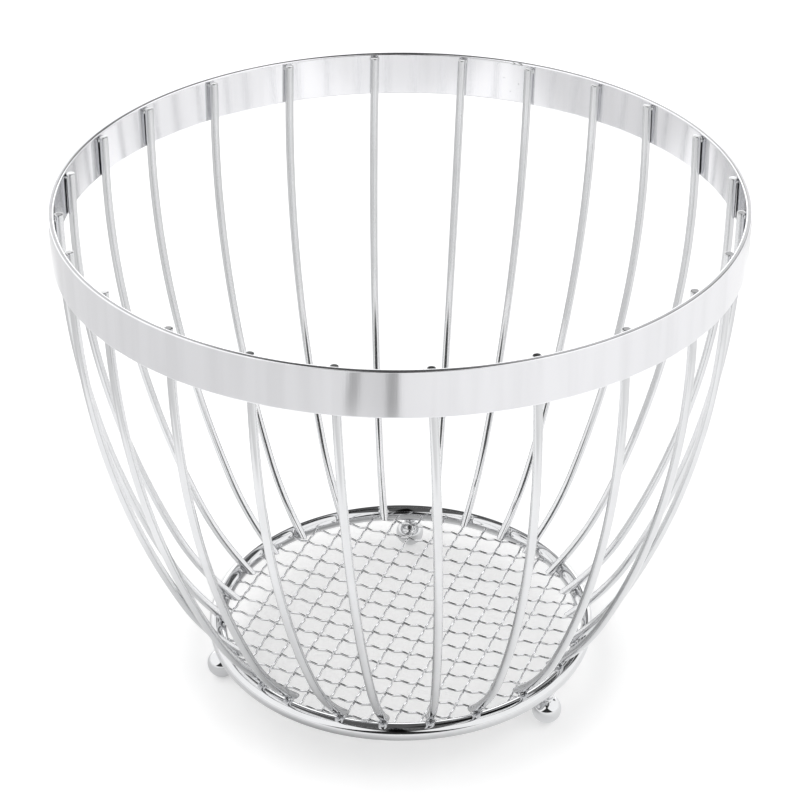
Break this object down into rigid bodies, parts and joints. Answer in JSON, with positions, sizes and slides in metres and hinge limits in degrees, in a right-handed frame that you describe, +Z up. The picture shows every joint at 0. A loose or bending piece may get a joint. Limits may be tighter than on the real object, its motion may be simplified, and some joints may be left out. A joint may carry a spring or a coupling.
{
  "type": "fruit basket",
  "caption": "Round open fruit basket of bright wire: flat rim band, ribs curving in to a thick base ring on ball feet, floor of woven crimped wire.",
  "frame": {"origin": "on the table, under the middle of the basket, level with the bottom of the three ball feet", "axes": "+Z up through the mouth; the shortest extent is upright; -Y is the side shown toward the viewer"},
  "size_m": [0.26, 0.26, 0.211],
  "materials": {
    "satin_chrome": "polished flat bar with fine upright grain",
    "bright_chrome": "mirror bright",
    "rib_chrome": "bright drawn wire",
    "floor_wire": "bright thin wire"
  },
  "bodies": {
    "root": {"rim_band": "satin_chrome", "base_ring": "bright_chrome", "ball_feet": "bright_chrome", "rib_01": "rib_chrome", "rib_02": "rib_chrome", "rib_03": "rib_chrome", "rib_04": "rib_chrome", "rib_05": "rib_chrome", "rib_06": "rib_chrome", "rib_07": "rib_chrome", "rib_08": "rib_chrome", "rib_09": "rib_chrome", "rib_10": "rib_chrome", "rib_11": "rib_chrome", "rib_12": "rib_chrome", "rib_13": "rib_chrome", "rib_14": "rib_chrome", "rib_15": "rib_chrome", "rib_16": "rib_chrome", "rib_17": "rib_chrome", "rib_18": "rib_chrome", "rib_19": "rib_chrome", "rib_20": "rib_chrome", "rib_21": "rib_chrome", "rib_22": "rib_chrome", "rib_23": "rib_chrome", "rib_24": "rib_chrome", "floor_warp_wires": "floor_wire", "floor_weft_wires": "floor_wire"}
  },
  "joints": []
}
